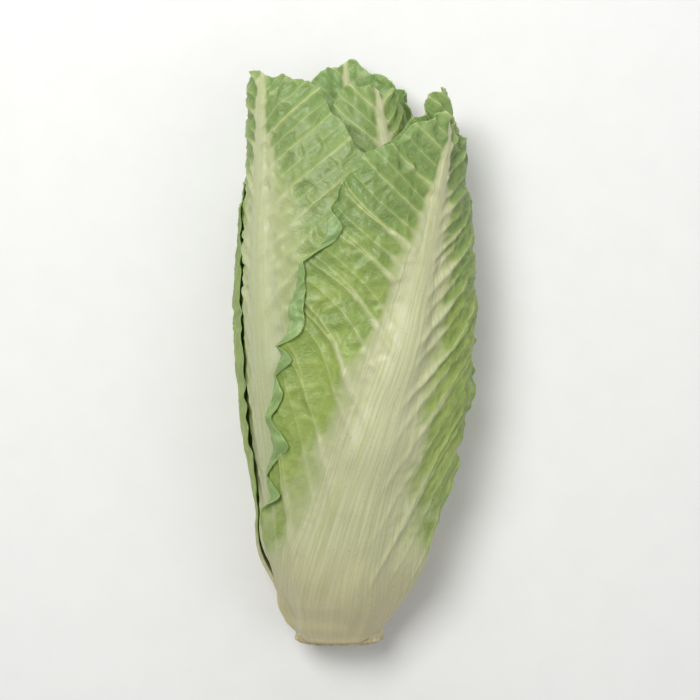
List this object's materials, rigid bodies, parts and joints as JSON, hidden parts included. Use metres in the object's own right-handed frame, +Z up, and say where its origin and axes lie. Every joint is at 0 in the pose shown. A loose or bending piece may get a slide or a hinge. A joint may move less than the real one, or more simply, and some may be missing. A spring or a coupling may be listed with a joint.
{
  "type": "romaine lettuce heart",
  "caption": "Trimmed romaine lettuce heart lying on its side: long pale-ribbed green leaves wrapped in a tight head on a short cut stump.",
  "frame": {"origin": "middle of the bounding box in plan, on the surface that the heart lies on", "axes": "+Y along the heart from the cut stump towards the leaf tips, +X to the right seen from above with the tips away, +Z up"},
  "size_m": [0.0964, 0.227, 0.0662],
  "materials": {
    "outer_leaf": "waxy satin, green blade with a cream-white rib",
    "inner_leaf": "waxy satin, yellow-green blade with a cream-white rib",
    "stump": "moist cut stem, cream with rusty edges"
  },
  "bodies": {
    "root": {"stump": "stump", "leaf_01": "outer_leaf", "leaf_02": "outer_leaf", "leaf_03": "outer_leaf", "leaf_04": "outer_leaf", "leaf_05": "outer_leaf", "leaf_06": "outer_leaf", "leaf_07": "inner_leaf", "leaf_08": "inner_leaf", "leaf_09": "inner_leaf", "leaf_10": "inner_leaf", "leaf_11": "inner_leaf", "leaf_12": "inner_leaf", "leaf_13": "inner_leaf", "leaf_14": "inner_leaf", "leaf_15": "inner_leaf"}
  },
  "joints": []
}
